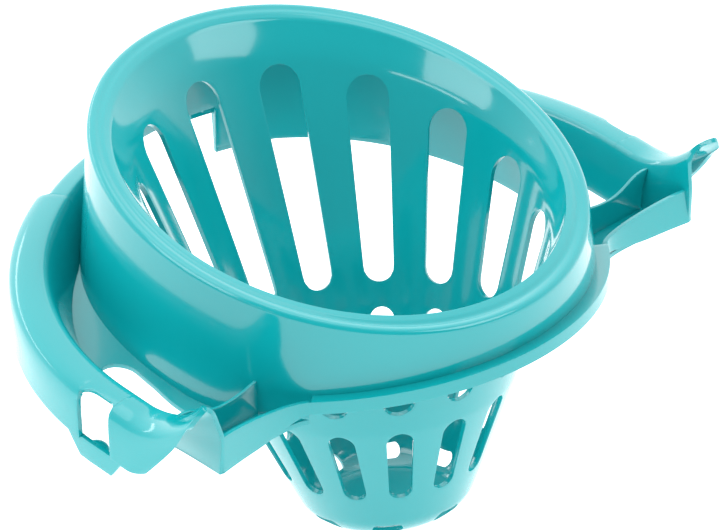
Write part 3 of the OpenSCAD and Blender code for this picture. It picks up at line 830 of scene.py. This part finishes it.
@dataclass
class RearEdge:
    """The arched edge over the end of the bucket, set in, with its two deep clips and their slots."""

    form: Form
    path: RidgePath
    section: EdgeSection
    step: float = 1.2
    slot_x: tuple[float, float] = (51.0, 58.0)
    slot_rows: tuple[float, float] = (8.75, 10.0)
    bridge_rows: tuple[float, float] = (5.0, 9.0)
    short_row: float = 11.0
    foot_row: float = 13.0
    finishing: Finishing = field(default_factory=Finishing)

    def places(self) -> Array:
        """Distances of the columns from the symmetry plane, from the left end to the right one."""
        form = self.form
        near, far = self.slot_x
        half = stretches([form.clip_x, form.clip_x - self.step, far, near, form.leg_x, form.bridge_half, 0.0],
                         [1, 2, 4, 8, 5, 12])
        return np.concatenate([-half, half[-2::-1]])

    def build(self, finish: "GlossyPlastic") -> None:
        """Builds the rear edge and hands it over.

        Args:
            finish: Material of the moulding.
        """
        form = self.form
        x = self.places()
        p, n = self.path.at_angle(np.arccos(-x / form.ridge_half_x))
        inset = np.where(np.abs(x) > form.clip_x - 0.01, 0.0, form.rear_inset)
        controls = self.section.controls(p, n, inset)
        leg = np.stack([14.8 - inset, np.full_like(inset, -form.apron_h - form.clip_drop)], axis=-1)
        controls = np.concatenate([controls, leg[None]])
        between = self.section.rows_between
        rows = np.linspace(0.0, len(controls) - 1.0, (len(controls) - 1) * between + 1)
        places = np.broadcast_to(rows[:, None], (len(rows), len(x)))
        grid = self.section.place(p, n, through(controls, places))
        row = ((rows[1:] + rows[:-1]) / 2)[:, None]
        across = np.abs((x[1:] + x[:-1]) / 2)[None, :]
        crown_only = (across < form.bridge_half) & ((row < self.bridge_rows[0]) | (row > self.bridge_rows[1]))
        short = (across < form.leg_x) & (row > self.short_row)
        shoulder = (across > form.clip_x - self.step) & (row > self.foot_row)
        (near, far), (low, high) = self.slot_x, self.slot_rows
        slot = (across > near) & (across < far) & (row > low) & (row < high)
        sheet = Patch(grid, keep=~(crown_only | short | shoulder | slot))
        piece = build_piece("rear_edge", [sheet], self.finishing)
        hand_over(piece, finish, ["rear_bridge", "rear_left_channel", "rear_right_channel", "rear_left_clip",
                                  "rear_right_clip"])


@dataclass
class Trough:
    """The floor of one wing between skirt and inner wall, its drain gap and the rib across it."""

    form: Form
    side: Side
    path: RidgePath
    section: EdgeSection
    apron: "Collar"
    gap_w: float = 16.5
    strip_rows: int = 4
    gap_rows: int = 10
    gap_share: float = 0.75
    skirt_bite: float = 0.7
    back_y: float = 93.0
    rib_wall: float = 1.5
    finishing: Finishing = field(default_factory=Finishing)

    def toe(self, y: Array) -> tuple[Array, Array, Array]:
        """Toe of the inner wall at stations y.

        Args:
            y: Stations.

        Returns:
            The toe in plan, its height and the outward normal.
        """
        form = self.form
        p, n = self.path.at_y(y)
        lean = self.section.lean_at(p, n)
        ridge = form.ridge_plane(p[:, 1])
        z = ridge - (ridge - form.floor_top(p[:, 1])) * lean / form.wall_lean
        return p - lean[:, None] * n, z, n

    def width(self, y: Array) -> Array:
        """Distance from the toe to the skirt along the normal at stations y, a little into its wall."""
        toe, z, n = self.toe(y)
        reach = np.full(len(y), 15.0)
        for _ in range(ROUNDS):
            foot = toe - reach[:, None] * n
            a = np.arctan2(foot[:, 1], foot[:, 0])
            gap = np.hypot(foot[:, 0], foot[:, 1]) - self.form.skirt_out(a, z)
            reach = np.maximum(reach + gap + self.skirt_bite, 0.4)
        return reach

    def at(self, y: Array, d: Array) -> Array:
        """Floor points at stations y and distances d inwards from the toe, both of one shape."""
        toe, z, n = self.toe(y.ravel())
        xy = toe - d.ravel()[:, None] * n
        return np.concatenate([xy, z[:, None]], axis=-1).reshape(*y.shape, 3)

    def strip(self, y: Array) -> Patch:
        """The part of the floor beside the skirt, along stations y."""
        width = self.width(y)
        near = np.minimum(self.gap_w, width * self.gap_share)
        d = width + (near - width) * shares(self.strip_rows)
        return Patch(self.at(np.broadcast_to(y, d.shape), d))

    def outer(self, y: Array) -> Patch:
        """The part of the floor beside the wall, along stations y on the last axis."""
        y = np.broadcast_to(y, (self.gap_rows + 1, y.shape[-1]))
        near = np.minimum(self.gap_w, self.width(y.ravel()) * self.gap_share).reshape(y.shape)
        return Patch(self.at(y, near * self.gap_shares()))

    def gap_shares(self) -> Array:
        """Shares of the gap's width, from 1 to 0 and closer together near both ends."""
        return (1 + np.cos(shares(self.gap_rows) * np.pi)) / 2

    def front(self, strip: Patch, outer: Patch) -> Patch:
        """The floor in front of the rib, out to the apron.

        Args:
            strip: Floor beside the skirt, whose first column is the line of the rib.
            outer: Floor beside the wall, starting on the same line.

        Returns:
            Columns from the apron to the rib.
        """
        line = np.concatenate([strip.points[:, 0], outer.points[1:, 0]])
        curve = self.apron.bow(np.linspace(0.0, 1.0, 60))
        x = np.linspace(-self.apron.end[0] - 0.4, line[-1, 0], len(line))
        start = np.stack([x, np.interp(-x, -curve[:, 0], curve[:, 1]) + 0.9, line[:, 2]], axis=-1)
        f = np.linspace(0.0, 1.0, 8)[None, :, None]
        return Patch(start[:, None, :] * (1 - f) + line[:, None, :] * f)

    def rib(self) -> Patch:
        """The rib's front face, from the floor up to its dipping top."""
        form = self.form
        skirt_x = float(np.sqrt(form.skirt_r ** 2 - (form.rib_y - form.skirt_y) ** 2)) - 0.8
        f = shares(24).T
        known = np.array([(skirt_x, 97.0), (92.0, 95.4), (98.0, 94.5), (104.0, 94.3), (108.0, 94.9),
                          (112.0, 96.2), (116.0, 97.9), (119.0, 98.9), (122.0, 99.3), (126.0, 99.2)])
        top_x = skirt_x + (125.6 - skirt_x) * f
        top = np.interp(top_x, known[:, 0], known[:, 1])
        foot_x = skirt_x + (120.4 - skirt_x) * f
        g = shares(6)
        bulge = 1.3 * np.sin(np.pi * g) * f**8
        x = foot_x + (top_x - foot_x) * g - bulge
        z = form.floor_low_z - 0.4 + (top - form.floor_low_z + 0.4) * g
        y = np.full_like(x, form.rib_y - self.rib_wall / 2)
        return Patch(np.stack([-x[:, ::-1], y, z[:, ::-1]], axis=-1))

    def build(self, finish: "GlossyPlastic") -> None:
        """Builds the floor and the rib of this wing and hands them over.

        Args:
            finish: Material of the moulding.
        """
        form, word = self.form, self.side.word
        radius = self.gap_w / 2
        bend_y, back_y = form.drain_back_y - radius, form.drain_back_y + 2.0
        ahead = np.linspace(form.rib_y, form.drain_front_y, 3)
        back = np.linspace(back_y, self.back_y, 26)
        share = self.gap_shares()
        nose = bend_y + radius * 2 * np.sqrt(share * (1 - share))
        end = nose + (back_y - nose) * shares(8).T
        stops = [form.rib_y, form.drain_front_y, bend_y, back_y, self.back_y]
        strip = self.strip(stretches(stops, [2, 13, 8, 25]))
        outer = self.outer(ahead)
        patches = [strip, outer, self.outer(end), self.outer(back), self.front(strip, outer)]
        piece = build_piece(f"{word}_trough", patches, self.finishing, self.side)
        hand_over(piece, finish, [f"{word}_trough_floor", f"{word}_front_floor"])
        thin = Finishing(wall=self.rib_wall, edge_r=0.4)
        hand_over(build_piece(f"{word}_rib_plate", [self.rib()], thin, self.side), finish, [f"{word}_rib"])


@dataclass
class Collar:
    """The stepped band round the front of the skirt and the curved aprons that carry it to the horns."""

    form: Form
    end: tuple[float, float] = (79.2, -49.0)
    tip: tuple[float, float] = (124.5, -49.5)
    tip_h: float = 13.6
    band_rows: int = 5
    apron_cols: int = 22
    front_cols: int = 80
    finishing: Finishing = field(default_factory=lambda: Finishing(edge_r=0.7, edge_steps=4, weld=0.1))

    def bow(self, f: Array) -> Array:
        """Plan of the left apron, a cubic that leaves the band without a kink."""
        knots = np.array([self.end, (84.3, -42.8), (112.0, -47.0), self.tip]) * np.array([-1.0, 1.0])
        return cubic(list(knots), f[:, None])

    def apron(self) -> Array:
        """Points of the left apron, as rows from its foot up and columns from the tip."""
        form = self.form
        f = np.linspace(1.0, 0.0, self.apron_cols + 1)
        band_low, tip_low = form.skirt_z - form.collar_h, form.floor_low_z - form.wall
        low = band_low + (tip_low - band_low) * smooth_step(f * 1.6)
        high = form.skirt_z + (tip_low + self.tip_h - form.skirt_z) * smooth_step(f)
        xy = self.bow(f)
        z = low + (high - low) * shares(self.band_rows)
        return np.concatenate([np.broadcast_to(xy, (*z.shape, 2)), z[..., None]], axis=-1)

    def build(self, finish: "GlossyPlastic") -> None:
        """Builds the band with both aprons and hands it over.

        Args:
            finish: Material of the moulding.
        """
        form = self.form
        start = np.arctan2(self.end[1] - form.skirt_y, -self.end[0]) % (2 * np.pi)
        a = np.linspace(start, 3 * np.pi - start, self.front_cols + 1)[None, :]
        radius = form.skirt_r + form.collar_step
        g = shares(self.band_rows)
        rows = [np.concatenate([np.full_like(g, radius), form.skirt_z - form.collar_h * (1 - g)], axis=-1),
                np.array([[radius - 2.0, form.skirt_z], [form.skirt_r - 0.9, form.skirt_z]])]
        section = np.concatenate(rows)[:, None, :]
        r, z = section[..., 0], section[..., 1]
        band = np.stack([r * np.cos(a), form.skirt_y + r * np.sin(a), z + 0 * a], axis=-1)
        left = self.apron()
        right = left[:, ::-1] * np.array([-1.0, 1.0, 1.0])
        piece = build_piece("collar", [Patch(band), Patch(left), Patch(right)], self.finishing)
        hand_over(piece, finish, ["front_collar", "left_front_apron", "right_front_apron"])


@dataclass(frozen=True)
class GlossyPlastic:
    """Polished turquoise polypropylene with faint flow marks."""

    name: str = "turquoise_moulding"
    light: tuple[float, float, float, float] = (0.004, 0.390, 0.420, 1.0)
    deep: tuple[float, float, float, float] = (0.002, 0.350, 0.380, 1.0)
    roughness: tuple[float, float] = (0.09, 0.15)
    coat: float = 0.4
    coat_roughness: float = 0.06
    index: float = 1.5
    bump: float = 0.02
    cloud: tuple[float, float] = (14.0, 3.0)
    grain: tuple[float, float] = (160.0, 2.0)

    def dress(self, piece: bpy.types.Object) -> None:
        """Puts this finish on a piece."""
        material = bpy.data.materials.get(self.name) or self.mix()
        piece.data.materials.append(material)

    def flow_marks(self) -> bpy.types.NodeTree:
        """The shared effect: a slow cloud for the tint and a fine grain for the gloss and the relief."""
        group = bpy.data.node_groups.new("flow_marks", "ShaderNodeTree")
        for label, kind in (("Tint", "Color"), ("Roughness", "Float"), ("Height", "Float")):
            group.interface.new_socket(label, in_out="OUTPUT", socket_type=f"NodeSocket{kind}")
        nodes, links = group.nodes, group.links
        place = nodes.new("ShaderNodeTexCoord")
        cloud, grain = nodes.new("ShaderNodeTexNoise"), nodes.new("ShaderNodeTexNoise")
        for noise, (scale, detail) in ((cloud, self.cloud), (grain, self.grain)):
            noise.inputs["Scale"].default_value = scale
            noise.inputs["Detail"].default_value = detail
            links.new(place.outputs["Object"], noise.inputs["Vector"])
        tint = nodes.new("ShaderNodeMix")
        tint.data_type = "RGBA"
        tint.inputs[6].default_value = self.deep
        tint.inputs[7].default_value = self.light
        gloss = nodes.new("ShaderNodeMapRange")
        gloss.inputs["To Min"].default_value, gloss.inputs["To Max"].default_value = self.roughness
        end = nodes.new("NodeGroupOutput")
        links.new(cloud.outputs["Fac"], tint.inputs[0])
        links.new(grain.outputs["Fac"], gloss.inputs["Value"])
        links.new(tint.outputs[2], end.inputs["Tint"])
        links.new(gloss.outputs["Result"], end.inputs["Roughness"])
        links.new(cloud.outputs["Fac"], end.inputs["Height"])
        return group

    def mix(self) -> bpy.types.Material:
        """Makes the material."""
        material = bpy.data.materials.new(self.name)
        material.use_nodes = True
        nodes, links = material.node_tree.nodes, material.node_tree.links
        shader = nodes["Principled BSDF"]
        marks = nodes.new("ShaderNodeGroup")
        marks.node_tree = self.flow_marks()
        bump = nodes.new("ShaderNodeBump")
        bump.inputs["Strength"].default_value = self.bump
        bump.inputs["Distance"].default_value = 0.001
        shader.inputs["IOR"].default_value = self.index
        shader.inputs["Coat Weight"].default_value = self.coat
        shader.inputs["Coat Roughness"].default_value = self.coat_roughness
        links.new(marks.outputs["Tint"], shader.inputs["Base Color"])
        links.new(marks.outputs["Roughness"], shader.inputs["Roughness"])
        links.new(marks.outputs["Height"], bump.inputs["Height"])
        links.new(bump.outputs["Normal"], shader.inputs["Normal"])
        return material


@dataclass(frozen=True)
class SoftBox:
    """One soft light: where it hangs, what it points at, its size and its power."""

    name: str
    place: tuple[float, float, float]
    size: tuple[float, float]
    power: float
    aim: tuple[float, float, float] = (0.0, 0.0, 0.09)

    def hang(self) -> None:
        """Makes the light."""
        light = bpy.data.lights.new(self.name, "AREA")
        light.shape, light.size, light.size_y, light.energy = "RECTANGLE", *self.size, self.power
        lamp = bpy.data.objects.new(self.name, light)
        bpy.context.scene.collection.objects.link(lamp)
        lamp.location = self.place
        lamp.rotation_euler = (Vector(self.aim) - Vector(self.place)).to_track_quat("-Z", "Y").to_euler()


@dataclass
class Studio:
    """A white table in a light tent, and the camera."""

    boxes: tuple[SoftBox, ...] = (
        SoftBox("over_left", (-1.1, 0.1, 1.3), (0.9, 0.9), 9.0),
        SoftBox("over_right", (0.5, -1.1, 1.0), (0.7, 0.7), 5.0),
        SoftBox("above", (0.0, 0.2, 1.7), (1.4, 1.0), 5.0),
        SoftBox("strip_back", (-0.2, 1.5, 1.1), (1.6, 0.12), 2.5),
        SoftBox("strip_left", (-1.6, -0.2, 0.9), (1.2, 0.1), 2.0),
    )
    sky: tuple[float, float] = (1.7, 0.25)
    towards_camera: tuple[float, float, float] = (-0.68, -0.73, 0.0)
    table_half: float = 6.0
    table_glow: float = 1.25
    eye: tuple[float, float, float] = (-1.26670, -1.34919, 0.99233)
    right: tuple[float, float, float] = (0.69933866, -0.70992958, -0.08321918)
    up: tuple[float, float, float] = (0.36284638, 0.25227966, 0.89704932)
    lens: float = 275.54
    sensor: float = 36.0

    def build(self) -> None:
        """Builds the table, the lights, the tent's glow and the camera."""
        self.table()
        for box in self.boxes:
            box.hang()
        self.tent()
        self.camera()

    def table(self) -> None:
        """Lays the table: pale, and bright enough to melt into the background."""
        size = self.table_half
        corners = [(-size, -size, 0), (size, -size, 0), (size, size, 0), (-size, size, 0)]
        mesh = bpy.data.meshes.new("table")
        mesh.from_pydata(corners, [], [(0, 1, 2, 3)])
        table = bpy.data.objects.new("table", mesh)
        bpy.context.scene.collection.objects.link(table)
        paper = bpy.data.materials.new("paper")
        paper.use_nodes = True
        shader = paper.node_tree.nodes["Principled BSDF"]
        shader.inputs["Base Color"].default_value = (0.4, 0.4, 0.4, 1.0)
        shader.inputs["Roughness"].default_value = 0.9
        shader.inputs["Emission Color"].default_value = (1.0, 1.0, 1.0, 1.0)
        shader.inputs["Emission Strength"].default_value = self.table_glow
        mesh.materials.append(paper)

    def tent(self) -> None:
        """Makes the glow all round: bright behind the wringer and dim on the camera's side."""
        world = bpy.data.worlds.new("tent")
        world.use_nodes = True
        nodes, links = world.node_tree.nodes, world.node_tree.links
        glow = nodes["Background"]
        glow.inputs["Color"].default_value = (1.0, 1.0, 1.0, 1.0)
        place, along = nodes.new("ShaderNodeTexCoord"), nodes.new("ShaderNodeVectorMath")
        fade = nodes.new("ShaderNodeMapRange")
        along.operation = "DOT_PRODUCT"
        along.inputs[1].default_value = self.towards_camera
        fade.inputs["From Min"].default_value, fade.inputs["From Max"].default_value = -0.4, 0.6
        fade.inputs["To Min"].default_value, fade.inputs["To Max"].default_value = self.sky
        links.new(place.outputs["Generated"], along.inputs[0])
        links.new(along.outputs["Value"], fade.inputs["Value"])
        links.new(fade.outputs["Result"], glow.inputs["Strength"])
        bpy.context.scene.world = world
        bpy.context.scene.view_settings.view_transform = "Standard"

    def camera(self) -> None:
        """Puts the camera in front of the left wing, a little above it."""
        right, up = Vector(self.right), Vector(self.up)
        optics = bpy.data.cameras.new("camera")
        optics.lens, optics.sensor_width = self.lens, self.sensor
        stand = bpy.data.objects.new("camera", optics)
        turn = Matrix((right, up, right.cross(up))).transposed().to_4x4()
        stand.matrix_world = Matrix.Translation(self.eye) @ turn
        bpy.context.scene.collection.objects.link(stand)
        bpy.context.scene.camera = stand


def main() -> None:
    """Builds the wringer in order, then the studio."""
    logging.basicConfig(level=logging.INFO, format="%(name)s: %(message)s")
    form = Form()
    finish = GlossyPlastic()
    path, section, collar = RidgePath(form), EdgeSection(form), Collar(form)
    Strainer(form).build(finish)
    collar.build(finish)
    for side in Side:
        Trough(form, side, path, section, collar).build(finish)
        SideEdge(form, side, path, section).build(finish)
    RearEdge(form, path, section).build(finish)
    Studio().build()


if __name__ == "__main__":
    main()
